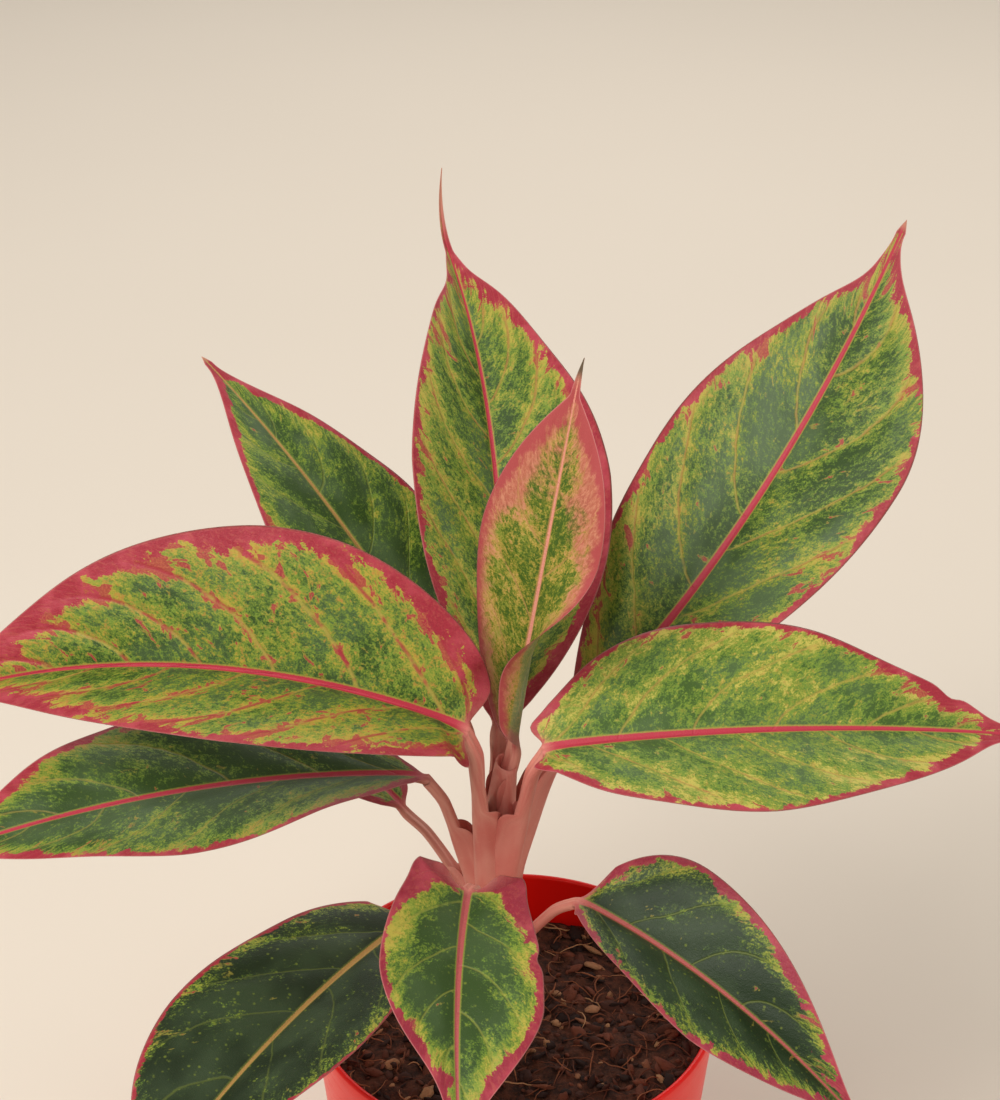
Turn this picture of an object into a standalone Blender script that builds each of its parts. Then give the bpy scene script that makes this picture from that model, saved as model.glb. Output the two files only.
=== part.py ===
"""Potted Chinese evergreen: a young red-edged aglaonema growing in a round nursery pot.

Metres, +Z up. The origin is the centre of the pot's flat base, which stands on z = 0.
The plant's front faces -Y. Every leaf is one piece, as it grows: petiole, midrib and blade.
"""
import math
from collections import namedtuple

import bmesh
import bpy
from mathutils import Vector

MM = 0.001
CLEARANCE = 0.3 * MM
SHARP_ANGLE = math.radians(35)

# Pot: a thin-walled tapered cup with a rounded rim and drainage holes in its floor
POT_HEIGHT = 112 * MM
RIM_RADIUS = 62.5 * MM
WALL = 2.0 * MM
WALL_TAPER = math.radians(5.5)
FLOOR_THICKNESS = 2.5 * MM
BASE_FILLET = 3.0 * MM
POT_SIDES = 48
ARC_STEPS = 4
DRAIN_HOLES = 6
DRAIN_RADIUS = 4 * MM
DRAIN_CIRCLE = 32 * MM
DRAIN_SIDES = 16

# Soil: fills the pot to a little below the rim and is mounded round the stem
SOIL_BELOW_RIM = 15 * MM
SOIL_MOUND = 2 * MM
SOIL_RINGS = 4

# Stem: its centre line and radius, from the foot in the soil to the open top sheath
StemRing = namedtuple("StemRing", "x y z radius")
STEM_RINGS = (
    StemRing(-2.5, 1.0, 78, 5.5),
    StemRing(-2.5, 1.0, 97, 7.0),
    StemRing(-4.0, 0.5, 120, 7.6),
    StemRing(-5.5, 0.0, 145, 7.8),
    StemRing(-6.0, 0.0, 162, 7.4),
    StemRing(-5.5, 0.0, 174, 6.4),
    StemRing(-4.0, 0.0, 186, 4.4),
    StemRing(-2.4, 0.5, 201, 3.2),
)
STEM_SIDES = 16

# Leaves. Sections run round the leaf, and stations run along it.
PETIOLE_RADIUS = 2.6 * MM
PETIOLE_STATIONS = 7
PETIOLE_ROOT = 0.6
PETIOLE_RISE = 0.4
PETIOLE_ARRIVAL = 0.12
MIDRIB_TIP_RADIUS = 0.45 * MM
BLADE_HALF_THICKNESS = 0.5 * MM
BASE_THICKENING_LENGTH = 0.06
SECTION_POINTS = 12
BLADE_STATIONS = (0.0, 0.025, 0.06, 0.11, 0.18, 0.27, 0.37, 0.48, 0.59, 0.7, 0.8, 0.88, 0.95, 1.0)
SPINE_STEPS = 200
MARGIN_CURL = math.radians(-9)
LOBE_REACH = 0.3
TAIL_STEPS = 5

# fullness rounds the base, shoulder and point shape the taper from the widest place to the tip
Outline = namedtuple("Outline", "fullness shoulder point")
OVATE = Outline(0.7, 1.7, 1.25)
ELLIPTIC = Outline(0.9, 1.7, 1.25)
TAPERED = Outline(0.9, 1.5, 1.05)
BROAD = Outline(0.85, 2.0, 1.5)
LANCE = Outline(0.7, 1.9, 0.95)
ROUND_BASE = Outline(0.5, 1.9, 0.8)
ROUNDED = Outline(0.55, 1.7, 1.25)
HEART = Outline(0.4, 1.7, 1.5)

# joint: height on the stem (mm) and the side of the stem (degrees) where the petiole leaves it
# base: where the blade begins (mm). heading: the way that the blade points, counterclockwise from +X
# rise: its slope at the base. swing, droop and twist: how heading, slope and roll change to the tip
# widest: where the blade is widest, as a share of its length, and skew moves it on the left half
# fold: how far each half is raised from the midrib. lobe: how far the base reaches back (mm)
# tail: length of the drip tip (mm), and bend is how far it turns (degrees)
Leaf = namedtuple(
    "Leaf",
    "name outline joint side base heading swing rise droop roll twist "
    "length width widest fold skew lobe tail bend",
)
LEAVES = (
    Leaf("leaf_back_left", OVATE, 156, 118, (-18, 30, 203), 141, 0, 50, 20, 0, 0,
         128, 58, 0.45, 10, 0, 0, 3, 0),
    Leaf("leaf_back_tall", TAPERED, 172, 95, (-4, 15, 202), 87, 20, 51, 28, 20, -10,
         165, 71, 0.45, 30, 0, 0, 28, 60),
    Leaf("leaf_back_right", BROAD, 162, 20, (17, 17, 199), 31, 15, 36, -19, 5, 10,
         180, 79, 0.55, 10, -0.06, 0, 4, 0),
    Leaf("leaf_centre_new", LANCE, 196, 32, (-2, 1, 204), 32, 10, 79, 2, 5, 10,
         111, 43, 0.6, 15, -0.04, 0, 10, -10),
    Leaf("leaf_left", ROUNDED, 166, 235, (-13, -14, 221), 176, -5, 24, 48, -25, -10,
         160, 84, 0.4, 40, 0, 8, 4, 0),
    Leaf("leaf_right", ROUNDED, 162, -50, (7.5, -14, 215), 2, 5, 7, 17, 15, 10,
         143, 70, 0.4, 20, -0.02, 8, 5, 0),
    Leaf("leaf_low_left", ELLIPTIC, 156, 185, (-25, 1, 195), 190, 15, 9, 16, 5, -20,
         146, 65, 0.5, 15, 0.02, 0, 4, 0),
    Leaf("leaf_low_back_left", OVATE, 142, 145, (-34, 32, 161), 139, -5, 24, 40, 5, 0,
         87, 37, 0.45, 5, -0.02, 0, 3, 0),
    Leaf("leaf_front_left", ROUND_BASE, 124, 215, (-29, -18, 158), 236, 5, 9, 21, 0, 5,
         126, 59, 0.55, 20, -0.04, 0, 3, 0),
    Leaf("leaf_front", HEART, 130, 265, (-13, -47, 191), 264, 10, 4, 36, -10, -5,
         86, 46, 0.5, 20, 0.04, 13, 4, 0),
    Leaf("leaf_front_right", OVATE, 134, -25, (18, -14, 161), -37, 0, -2, 33, 10, 15,
         105, 54, 0.4, 35, -0.12, 0, 4, 0),
)

# colour, roughness, metallic
RED_PLASTIC = ((0.72, 0.03, 0.02), 0.35, 0.0)
SOIL_BROWN = ((0.06, 0.028, 0.018), 0.95, 0.0)
STEM_PINK = ((0.40, 0.13, 0.09), 0.45, 0.0)
LEAF_GREEN = ((0.07, 0.13, 0.03), 0.4, 0.0)
LEAF_DARK_GREEN = ((0.03, 0.07, 0.02), 0.4, 0.0)
LEAF_PINK = ((0.55, 0.22, 0.12), 0.45, 0.0)
DARK_LEAVES = ("leaf_back_left", "leaf_front_left", "leaf_front_right")


def clear_scene():
    for thing in list(bpy.data.objects):
        bpy.data.objects.remove(thing, do_unlink=True)


def make_material(name, colour, roughness, metallic):
    material = bpy.data.materials.new(name)
    material.use_nodes = True
    shader = material.node_tree.nodes["Principled BSDF"]
    shader.inputs["Base Color"].default_value = (*colour, 1.0)
    shader.inputs["Roughness"].default_value = roughness
    shader.inputs["Metallic"].default_value = metallic
    return material


def add_object(name, bm, finish):
    bmesh.ops.recalc_face_normals(bm, faces=bm.faces)
    mesh = bpy.data.meshes.new(name)
    bm.to_mesh(mesh)
    bm.free()
    mesh.shade_smooth()
    mesh.set_sharp_from_angle(angle=SHARP_ANGLE)
    thing = bpy.data.objects.new(name, mesh)
    bpy.context.scene.collection.objects.link(thing)
    if finish:
        mesh.materials.append(make_material(name, *finish))
    return thing


def add_cutter(name, bm):
    cutter = add_object(name, bm, None)
    cutter.hide_render = True
    cutter.display_type = "WIRE"
    return cutter


def cut(thing, cutter):
    modifier = thing.modifiers.new("cut_" + cutter.name, "BOOLEAN")
    modifier.operation = "DIFFERENCE"
    modifier.solver = "EXACT"
    modifier.object = cutter


def bridge(bm, rings):
    """Joins each ring of vertices to the next with quads."""
    for lower, upper in zip(rings, rings[1:]):
        count = len(lower)
        for i in range(count):
            j = (i + 1) % count
            bm.faces.new((lower[i], lower[j], upper[j], upper[i]))


def close_with_fan(bm, ring, point):
    tip = bm.verts.new(point)
    for i in range(len(ring)):
        bm.faces.new((ring[i], ring[(i + 1) % len(ring)], tip))


def turned_ring(bm, centre_x, centre_y, radius, z, sides):
    ring = []
    for i in range(sides):
        angle = 2 * math.pi * i / sides
        x = centre_x + radius * math.cos(angle)
        y = centre_y + radius * math.sin(angle)
        ring.append(bm.verts.new((x, y, z)))
    return ring


def arc(centre_r, centre_z, radius, start, end, steps):
    """Points (r, z) of an arc between two angles in degrees."""
    points = []
    for i in range(steps + 1):
        angle = math.radians(start + (end - start) * i / steps)
        points.append((centre_r + radius * math.cos(angle), centre_z + radius * math.sin(angle)))
    return points


def outer_radius(z):
    return RIM_RADIUS - (POT_HEIGHT - z) * math.tan(WALL_TAPER)


def pot_profile():
    """(r, z) from the base's edge up the outside, over the rim and down to the inner floor."""
    lip = WALL / 2
    base_radius = outer_radius(0)
    profile = arc(base_radius - BASE_FILLET, BASE_FILLET, BASE_FILLET, -90, 0, ARC_STEPS)
    profile += arc(RIM_RADIUS - lip, POT_HEIGHT - lip, lip, 0, 180, ARC_STEPS)
    profile.append((outer_radius(FLOOR_THICKNESS) - WALL, FLOOR_THICKNESS))
    return profile


def make_pot():
    bm = bmesh.new()
    rings = [turned_ring(bm, 0, 0, r, z, POT_SIDES) for r, z in pot_profile()]
    bridge(bm, rings)
    close_with_fan(bm, rings[0], (0, 0, 0))
    close_with_fan(bm, rings[-1], (0, 0, FLOOR_THICKNESS))
    pot = add_object("pot", bm, RED_PLASTIC)
    holes = bmesh.new()
    for i in range(DRAIN_HOLES):
        angle = 2 * math.pi * (i + 0.5) / DRAIN_HOLES
        x = DRAIN_CIRCLE * math.cos(angle)
        y = DRAIN_CIRCLE * math.sin(angle)
        low = turned_ring(holes, x, y, DRAIN_RADIUS, -FLOOR_THICKNESS, DRAIN_SIDES)
        high = turned_ring(holes, x, y, DRAIN_RADIUS, 2 * FLOOR_THICKNESS, DRAIN_SIDES)
        bridge(holes, [low, high])
        holes.faces.new(low)
        holes.faces.new(high)
    cut(pot, add_cutter("drain_hole_cutter", holes))


def make_soil(stem_cutter):
    """A plug that follows the inner wall, with a low mound on top."""
    bm = bmesh.new()
    bottom = FLOOR_THICKNESS + CLEARANCE
    top = POT_HEIGHT - SOIL_BELOW_RIM
    gap = WALL + CLEARANCE
    rings = [
        turned_ring(bm, 0, 0, outer_radius(bottom) - gap, bottom, POT_SIDES),
        turned_ring(bm, 0, 0, outer_radius(top) - gap, top, POT_SIDES),
    ]
    for i in range(1, SOIL_RINGS):
        share = i / SOIL_RINGS
        radius = (outer_radius(top) - gap) * (1 - share)
        z = top + SOIL_MOUND * math.sin(share * math.pi / 2) ** 2
        rings.append(turned_ring(bm, 0, 0, radius, z, POT_SIDES))
    bridge(bm, rings)
    close_with_fan(bm, rings[0], (0, 0, bottom))
    close_with_fan(bm, rings[-1], (0, 0, top + SOIL_MOUND))
    cut(add_object("soil", bm, SOIL_BROWN), stem_cutter)


def stem_mesh(extra):
    """The stem as a closed loft, made thicker all round and longer by extra."""
    bm = bmesh.new()
    rings = []
    for place in STEM_RINGS:
        z = place.z * MM
        if place is STEM_RINGS[0]:
            z -= extra
        if place is STEM_RINGS[-1]:
            z += extra
        radius = place.radius * MM + extra
        rings.append(turned_ring(bm, place.x * MM, place.y * MM, radius, z, STEM_SIDES))
    bridge(bm, rings)
    bm.faces.new(rings[0])
    bm.faces.new(rings[-1])
    return bm


def stem_place(height):
    """Centre and radius of the stem, in metres, at a height in millimetres."""
    for low, high in zip(STEM_RINGS, STEM_RINGS[1:]):
        if low.z <= height <= high.z:
            share = (height - low.z) / (high.z - low.z)
            x, y, z, radius = (a + share * (b - a) for a, b in zip(low, high))
            return Vector((x, y, z)) * MM, radius * MM
    raise ValueError("that height is off the stem")


def half_width(leaf, t, left):
    """Half of the blade's width at share t of its length, on its left or right half."""
    widest = leaf.widest + (leaf.skew if left else -leaf.skew)
    full = leaf.width * MM / 2
    if t < widest:
        return full * (1 - (1 - t / widest) ** 2) ** leaf.outline.fullness
    taper = ((t - widest) / (1 - widest)) ** leaf.outline.shoulder
    return full * (1 - min(taper, 1.0)) ** leaf.outline.point


def blade_frame(leaf, t):
    """Directions along, across to the left of, and out of the blade at share t."""
    heading = math.radians(leaf.heading + leaf.swing * t)
    slope = math.radians(leaf.rise - leaf.droop * t)
    roll = math.radians(leaf.roll + leaf.twist * t)
    along = Vector((
        math.cos(slope) * math.cos(heading),
        math.cos(slope) * math.sin(heading),
        math.sin(slope),
    ))
    level = Vector((-math.sin(heading), math.cos(heading), 0))
    normal = along.cross(level)
    across = level * math.cos(roll) + normal * math.sin(roll)
    return along, across, along.cross(across)


def blade_spine(leaf, t):
    """Point on the midrib at share t of the blade's length."""
    point = Vector(leaf.base) * MM
    steps = max(1, round(SPINE_STEPS * t))
    for i in range(steps):
        along = blade_frame(leaf, t * (i + 0.5) / steps)[0]
        point += along * (leaf.length * MM * t / steps)
    return point


def half_section(fold, v):
    """Sideways and outward shares at v of the way to the margin, on a raised half that curls."""
    x = (math.sin(fold + MARGIN_CURL * v) - math.sin(fold)) / MARGIN_CURL
    z = (math.cos(fold) - math.cos(fold + MARGIN_CURL * v)) / MARGIN_CURL
    return x, z


def petiole_points(leaf):
    """Cubic Bezier from inside the stem to the blade's base: its points and directions."""
    side = math.radians(leaf.side)
    outward = Vector((math.cos(side), math.sin(side), 0))
    centre, radius = stem_place(leaf.joint)
    start = centre + outward * radius * PETIOLE_ROOT
    end = Vector(leaf.base) * MM
    reach = (end - start).length
    along = blade_frame(leaf, 0)[0]
    first = start + (outward * 0.5 + Vector((0, 0, 1))).normalized() * reach * PETIOLE_RISE
    second = end - along * reach * PETIOLE_ARRIVAL
    points = []
    for i in range(PETIOLE_STATIONS):
        u = i / PETIOLE_STATIONS
        w = 1 - u
        place = start * w**3 + first * (3 * w * w * u) + second * (3 * w * u * u) + end * u**3
        ahead = (first - start) * w * w + (second - first) * (2 * w * u) + (end - second) * u * u
        points.append((place, ahead.normalized()))
    return points


def leaf_ring(bm, centre, across, normal, widths, thickness, fold, pull):
    """One section: two raised halves, thickest at the midrib, swept back by the vector pull."""
    ring = []
    for i in range(SECTION_POINTS):
        angle = 2 * math.pi * i / SECTION_POINTS
        v = math.cos(angle)
        width = widths[0] if v > 0 else widths[1]
        x, z = half_section(fold, abs(v))
        point = centre + across * (math.copysign(x, v) * width) + normal * (z * width)
        point += normal * (math.sin(angle) * thickness) + pull * abs(v) ** 2
        ring.append(bm.verts.new(point))
    return ring


def tail_rings(bm, leaf, start):
    """The thin drip tip, which turns upward as it leaves the blade."""
    rings = []
    point = start.copy()
    along, across, normal = blade_frame(leaf, 1.0)
    step = leaf.tail * MM / TAIL_STEPS
    turn = math.radians(leaf.bend) / TAIL_STEPS
    for i in range(1, TAIL_STEPS):
        along, normal = (
            along * math.cos(turn) + normal * math.sin(turn),
            normal * math.cos(turn) - along * math.sin(turn),
        )
        point += along * step
        radius = MIDRIB_TIP_RADIUS * (1 - 0.8 * i / TAIL_STEPS)
        rings.append(leaf_ring(bm, point, across, normal, (radius, radius), radius, 0, Vector()))
    return rings, point + along * step


def make_leaf(leaf, stem_cutter):
    bm = bmesh.new()
    rings = []
    across = blade_frame(leaf, 0)[1]
    stalk = petiole_points(leaf)
    crossings = []
    for place, along in reversed(stalk):
        across = (across - along * across.dot(along)).normalized()
        crossings.append(across)
    for (place, along), across in zip(stalk, reversed(crossings)):
        widths = (PETIOLE_RADIUS, PETIOLE_RADIUS)
        normal = along.cross(across)
        rings.append(leaf_ring(bm, place, across, normal, widths, PETIOLE_RADIUS, 0, Vector()))
    for t in BLADE_STATIONS:
        centre = blade_spine(leaf, t)
        along, across, normal = blade_frame(leaf, t)
        rib = PETIOLE_RADIUS + (MIDRIB_TIP_RADIUS - PETIOLE_RADIUS) * t
        thickening = max(0, 1 - t / BASE_THICKENING_LENGTH) ** 2
        thickness = BLADE_HALF_THICKNESS * (1 - t / 2)
        thickness += (PETIOLE_RADIUS - BLADE_HALF_THICKNESS) * thickening
        widths = [max(half_width(leaf, t, left), rib if t in (0, 1) else 0) for left in (True, False)]
        fold = math.radians(leaf.fold) * min(1, t / BASE_THICKENING_LENGTH)
        fade = max(0, 1 - t / LOBE_REACH) ** 2 * min(1, t / BASE_THICKENING_LENGTH)
        pull = along * (-leaf.lobe * MM * fade)
        rings.append(leaf_ring(bm, centre, across, normal, widths, thickness, fold, pull))
    drip, tip = tail_rings(bm, leaf, blade_spine(leaf, 1.0))
    rings += drip
    bridge(bm, rings)
    bm.faces.new(rings[0])
    close_with_fan(bm, rings[-1], tip)
    finish = LEAF_DARK_GREEN if leaf.name in DARK_LEAVES else LEAF_GREEN
    if leaf.name == "leaf_centre_new":
        finish = LEAF_PINK
    cut(add_object(leaf.name, bm, finish), stem_cutter)


def main():
    clear_scene()
    stem_cutter = add_cutter("stem_cutter", stem_mesh(CLEARANCE))
    make_pot()
    make_soil(stem_cutter)
    add_object("stem", stem_mesh(0), STEM_PINK)
    for leaf in LEAVES:
        make_leaf(leaf, stem_cutter)


main()
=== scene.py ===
"""Looks of the potted Chinese evergreen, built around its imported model.

Metres, +Z up. The plant's front faces -Y. Leaf values repeat the design's: millimetres and degrees.
"""
import math
from collections import namedtuple
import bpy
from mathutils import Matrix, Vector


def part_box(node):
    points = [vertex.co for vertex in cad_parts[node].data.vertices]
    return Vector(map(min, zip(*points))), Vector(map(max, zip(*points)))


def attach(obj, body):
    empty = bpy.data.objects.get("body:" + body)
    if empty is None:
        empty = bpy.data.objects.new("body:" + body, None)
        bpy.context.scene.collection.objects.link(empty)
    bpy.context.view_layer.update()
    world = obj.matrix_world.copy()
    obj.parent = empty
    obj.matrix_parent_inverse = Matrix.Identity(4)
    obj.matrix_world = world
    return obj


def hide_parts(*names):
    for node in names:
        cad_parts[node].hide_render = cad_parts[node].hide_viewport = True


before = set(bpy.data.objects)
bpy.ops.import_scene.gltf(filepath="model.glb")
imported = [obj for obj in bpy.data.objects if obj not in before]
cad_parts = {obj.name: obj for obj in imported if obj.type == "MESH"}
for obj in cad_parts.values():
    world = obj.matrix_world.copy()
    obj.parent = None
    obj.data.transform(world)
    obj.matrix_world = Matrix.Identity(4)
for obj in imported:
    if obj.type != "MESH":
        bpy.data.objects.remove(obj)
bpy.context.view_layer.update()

from types import SimpleNamespace

import bmesh
import bpy
import numpy as np
from mathutils import Euler, Vector, noise

MM = 0.001

# Pot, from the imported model: a tapered cup with a rounded rim and drainage holes
POT_LOW, POT_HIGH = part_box("pot")
POT_HEIGHT = POT_HIGH.z
RIM_RADIUS = POT_HIGH.x
WALL = 2.0 * MM
WALL_TAPER = math.radians(5.5)
FLOOR_THICKNESS = 2.5 * MM
BASE_FILLET = 3.0 * MM
INNER_FILLET = 2 * MM
POT_SIDES = 160
WALL_STEPS = 24
DRAIN_HOLES = 6
DRAIN_RADIUS = 4 * MM
DRAIN_CIRCLE = 32 * MM

# Soil
SOIL_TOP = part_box("soil")[1].z
SOIL_EDGE_DROP = 2 * MM
SOIL_GAP = 0.35 * MM
POCKET_GAP = 0.8 * MM
SOIL_ROUGHNESS = 1.5 * MM
SOIL_SECTORS = 180
SOIL_RINGS = 60
STEM_CLEARANCE = 8 * MM
CHIPS = 900
CHIP_SMALLEST = np.array([1.0, 0.7, 0.4]) * MM
CHIP_GROWTH = np.array([2.6, 1.2, 0.6]) * MM
FIBRES = 260
FIBRE_LENGTHS = (5, 17)
FIBRE_RADII = (0.12, 0.3)
FIBRE_ARCH = 0.8 * MM
FIBRE_SIDES = 5
FIBRE_STEPS = 10

# Stem: centre line and radius (mm) of the bundle of sheaths
StemRing = namedtuple("StemRing", "x y z radius")
STEM_RINGS = (
    StemRing(-2.5, 1.0, 78, 5.5),
    StemRing(-2.5, 1.0, 97, 7.0),
    StemRing(-4.0, 0.5, 120, 7.6),
    StemRing(-5.5, 0.0, 145, 7.8),
    StemRing(-6.0, 0.0, 162, 7.4),
    StemRing(-5.5, 0.0, 174, 6.4),
    StemRing(-4.0, 0.0, 186, 4.4),
    StemRing(-2.4, 0.5, 201, 3.2),
)
STEM_SIDES = 72
STEM_STATIONS = 110
STEM_CORE = 0.72  # of the bundle's radius
STEM_BARE = (0.172, 0.188)  # heights between which the core swells to the bundle's full radius
STEM_SCARS = (0.103, 0.111, 0.121)
SCAR_HEIGHT = 0.35 * MM
SCAR_REACH = 0.7 * MM
MOUTH_SLANT = 1.2 * MM
# the mouth's inner rings: share of its width, and drop (mm)
MOUTH_STEPS = ((0.92, -0.1), (0.86, 0.3), (0.82, 1.5), (0.74, 4.0), (0.5, 8.0))

# Leaves: closed lofts whose sections run round the leaf
HALF_POINTS = 21
SHEATH_RINGS = 26
PETIOLE_RINGS = 44
BLADE_RINGS = 120
TAIL_RINGS = 10
SHEATH_LENGTH = 20 * MM
SHEATH_SKIN = 0.3 * MM
SHEATH_LAYER = 0.12 * MM
SHEATH_TUCK = 0.28  # how far a sheath's lower end sinks in, of its radius
WING_ROOM = 1.3  # radius of the open wings, of the petiole's
WING_WRAP = 1.9  # half angle that the open wings clasp, in radians
FULL_WRAP = 2.2  # and that the closed sheath clasps
WING_TIP = 5 * MM
WING_TAPER = 9 * MM
PETIOLE_EMBED = 0.75  # where the sheath's middle lies, of the stem's radius
PETIOLE_FLARE = 0.3
PETIOLE_RISE = 0.2
PETIOLE_TURN = 0.03
PETIOLE_RUN = 0.3
TIP_WIDTH = 1.5 * MM
MIDRIB_TIP_RADIUS = 0.4 * MM
BLADE_HALF_THICKNESS = 0.28 * MM
MARGIN_CURL = math.radians(-9)
QUILT_DEPTH = 0.9 * MM
FULL_RELIEF_WIDTH = 25 * MM
VEIN_LEAN = 0.3

Outline = namedtuple("Outline", "fullness shoulder point")
OVATE = Outline(0.7, 1.7, 1.25)
ELLIPTIC = Outline(0.9, 1.7, 1.25)
TAPERED = Outline(0.9, 1.5, 1.05)
BROAD = Outline(0.85, 2.0, 1.5)
LANCE = Outline(0.7, 1.9, 0.95)
ROUND_BASE = Outline(0.5, 1.9, 0.8)
ROUNDED = Outline(0.55, 1.7, 1.25)
HEART = Outline(0.4, 1.7, 1.5)

Leaf = namedtuple(
    "Leaf",
    "name outline joint side base heading swing rise droop roll twist "
    "length width widest fold skew lobe tail bend",
)
LEAVES = (
    Leaf("leaf_back_left", OVATE, 156, 118, (-18, 30, 203), 141, 0, 50, 20, 0, 0,
         128, 58, 0.45, 10, 0, 0, 3, 0),
    Leaf("leaf_back_tall", TAPERED, 172, 95, (-4, 15, 202), 87, 20, 51, 28, 20, -10,
         165, 71, 0.45, 30, 0, 0, 28, 60),
    Leaf("leaf_back_right", BROAD, 162, 20, (17, 17, 199), 31, 15, 36, -19, 5, 10,
         180, 79, 0.55, 10, -0.06, 0, 4, 0),
    Leaf("leaf_centre_new", LANCE, 196, 32, (-2, 1, 204), 32, 10, 79, 2, 5, 10,
         111, 43, 0.6, 15, -0.04, 0, 10, -10),
    Leaf("leaf_left", ROUNDED, 166, 235, (-13, -14, 221), 176, -5, 24, 48, -25, -10,
         160, 84, 0.4, 40, 0, 8, 4, 0),
    Leaf("leaf_right", ROUNDED, 162, -50, (7.5, -14, 215), 2, 5, 7, 17, 15, 10,
         143, 70, 0.4, 20, -0.02, 8, 5, 0),
    Leaf("leaf_low_left", ELLIPTIC, 156, 185, (-25, 1, 195), 190, 15, 9, 16, 5, -20,
         146, 65, 0.5, 15, 0.02, 0, 4, 0),
    Leaf("leaf_low_back_left", OVATE, 142, 145, (-34, 32, 161), 139, -5, 24, 40, 5, 0,
         87, 37, 0.45, 5, -0.02, 0, 3, 0),
    Leaf("leaf_front_left", ROUND_BASE, 124, 215, (-29, -18, 158), 236, 5, 9, 21, 0, 5,
         126, 59, 0.55, 20, -0.04, 0, 3, 0),
    Leaf("leaf_front", HEART, 130, 265, (-13, -47, 191), 264, 10, 4, 36, -10, -5,
         86, 46, 0.5, 20, 0.04, 13, 4, 0),
    Leaf("leaf_front_right", OVATE, 134, -25, (18, -14, 161), -37, 0, -2, 33, 10, 15,
         105, 54, 0.4, 35, -0.12, 0, 4, 0),
)

# stalk: radius of the petiole (mm), and wings: how far its sheath runs on after it leaves the stem (mm)
# veins: laterals on each half. wave: margin wave height (mm), and crests along the left and right margins
# dents: (half, place, reach, depth) where the margin draws in. inroll: (half, start, end, degrees)
Shape = namedtuple(
    "Shape", "stalk wings veins wave crests dents inroll",
    defaults=(6, 0.8, (2.2, 2.7), (), None),
)
SHAPES = {
    "leaf_back_left": Shape(2.0, 14),
    "leaf_back_tall": Shape(2.6, 28, 7, 0.9, (2.4, 3.1), (
        ("left", 0.92, 0.06, 0.3), ("right", 0.95, 0.05, 0.25))),
    "leaf_back_right": Shape(2.7, 34, 6, 0.9, (2.6, 1.9), (
        ("left", 0.93, 0.05, 0.3), ("right", 0.95, 0.05, 0.15))),
    "leaf_centre_new": Shape(2.5, 3, 5, 0.4, inroll=("right", 0.0, 0.62, 135)),
    "leaf_left": Shape(2.5, 26, 7, 0.9, (2.0, 2.5)),
    "leaf_right": Shape(2.5, 30, 6, 1.0, (2.9, 2.2), (
        ("left", 0.03, 0.07, 0.3), ("right", 0.03, 0.07, 0.3),
        ("left", 0.83, 0.02, 0.16), ("left", 0.93, 0.05, 0.3), ("right", 0.93, 0.06, 0.3))),
    "leaf_low_left": Shape(2.1, 24, 6, 1.8, (1.8, 2.6)),
    "leaf_low_back_left": Shape(1.8, 18, 5, 0.5),
    "leaf_front_left": Shape(2.0, 8, 5, 0.5),
    "leaf_front": Shape(2.0, 10, 5, 0.6, dents=(
        ("left", 0.05, 0.06, -0.2), ("right", 0.05, 0.06, -0.2),
        ("left", 0.36, 0.03, 0.05), ("right", 0.82, 0.13, 0.35))),
    "leaf_front_right": Shape(1.9, 7, 5, 0.8, (1.6, 2.4)),
}


def smoothstep(low, high, x):
    s = np.clip((x - low) / (high - low), 0, 1)
    return s * s * (3 - 2 * s)


def unit(vectors):
    return vectors / np.linalg.norm(vectors, axis=-1, keepdims=True)


def smooth_path(points, rounds):
    """Laplacian smoothing that keeps the two ends."""
    points = points.copy()
    for _ in range(rounds):
        points[1:-1] += 0.5 * ((points[:-2] + points[2:]) / 2 - points[1:-1])
    return points


def resample(points, count):
    """The same path with evenly spaced points, and its length."""
    steps = np.linalg.norm(np.diff(points, axis=0), axis=1)
    at = np.concatenate([[0], np.cumsum(steps)])
    even = np.linspace(0, at[-1], count)
    return np.stack([np.interp(even, at, points[:, k]) for k in range(3)], axis=1), at[-1]


# ---- meshes ----

def add_piece(name, mesh, nodes, material):
    """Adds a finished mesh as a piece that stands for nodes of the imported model, or for none."""
    piece = bpy.data.objects.new(name, mesh)
    bpy.context.scene.collection.objects.link(piece)
    mesh.materials.append(material)
    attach(piece, "root")
    if nodes:
        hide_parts(*nodes)


def mesh_from(name, points, faces):
    """A smooth mesh whose faces all point outwards."""
    mesh = bpy.data.meshes.new(name)
    mesh.from_pydata(points.tolist(), [], faces)
    mesh.shade_smooth()
    bm = bmesh.new()
    bm.from_mesh(mesh)
    bmesh.ops.recalc_face_normals(bm, faces=bm.faces)
    bm.to_mesh(mesh)
    bm.free()
    return mesh


def loft_faces(rings, size, first=0):
    """Faces of a closed loft: rings of size points each, then a middle point for each of its ends."""
    faces = []
    for i in range(rings - 1):
        low = first + i * size
        for j in range(size):
            k = (j + 1) % size
            faces.append((low + j, low + k, low + size + k, low + size + j))
    last = first + (rings - 1) * size
    for j in range(size):
        k = (j + 1) % size
        faces += [(first + k, first + j, last + size), (last + j, last + k, last + size + 1)]
    return faces


def circle(sides):
    """Cosines and sines of evenly spaced angles."""
    angle = np.linspace(0, 2 * math.pi, sides, endpoint=False)
    return np.cos(angle), np.sin(angle)


def put_attribute(mesh, name, *columns):
    """Stores one number, or three, for each point."""
    kind, field = ("FLOAT", "value") if len(columns) == 1 else ("FLOAT_VECTOR", "vector")
    attribute = mesh.attributes.new(name, kind, "POINT")
    attribute.data.foreach_set(field, np.stack(columns, axis=-1).reshape(-1).astype(np.float32))


# ---- stem ----

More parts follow.
